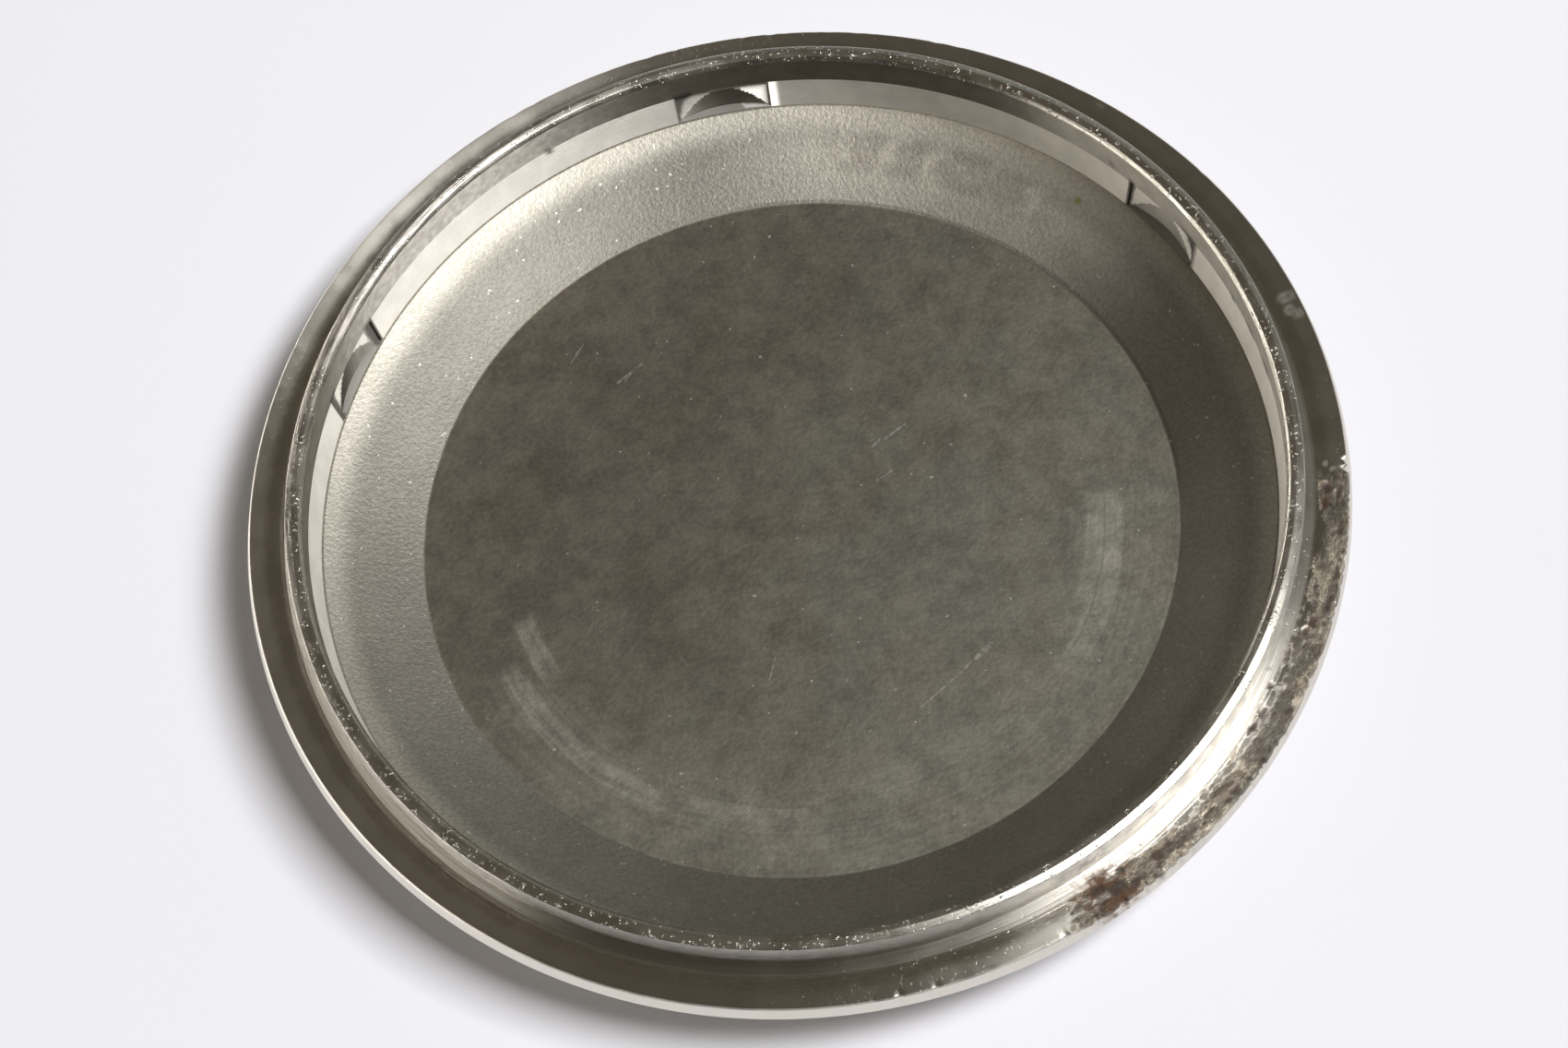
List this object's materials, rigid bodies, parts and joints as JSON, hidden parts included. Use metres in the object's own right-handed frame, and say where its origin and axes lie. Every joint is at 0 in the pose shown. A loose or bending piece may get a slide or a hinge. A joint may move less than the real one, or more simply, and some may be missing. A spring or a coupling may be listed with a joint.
{
  "type": "watch case back",
  "caption": "Round press-fit wristwatch case back in steel: shallow dish with a raised snap ring, a flat seat and a thin rim.",
  "frame": {"origin": "centre of the flat outer face, which the part lies on", "axes": "+Z is the turning axis, from the outer face towards the snap ring; the first notch is 29 degrees from +X, towards +Y"},
  "size_m": [0.0322, 0.0322, 0.0041],
  "materials": {
    "steel": "turned and worn bright on the ring and seat, fine blasted in the dish"
  },
  "bodies": {
    "root": {"case_back": "steel"}
  },
  "joints": []
}
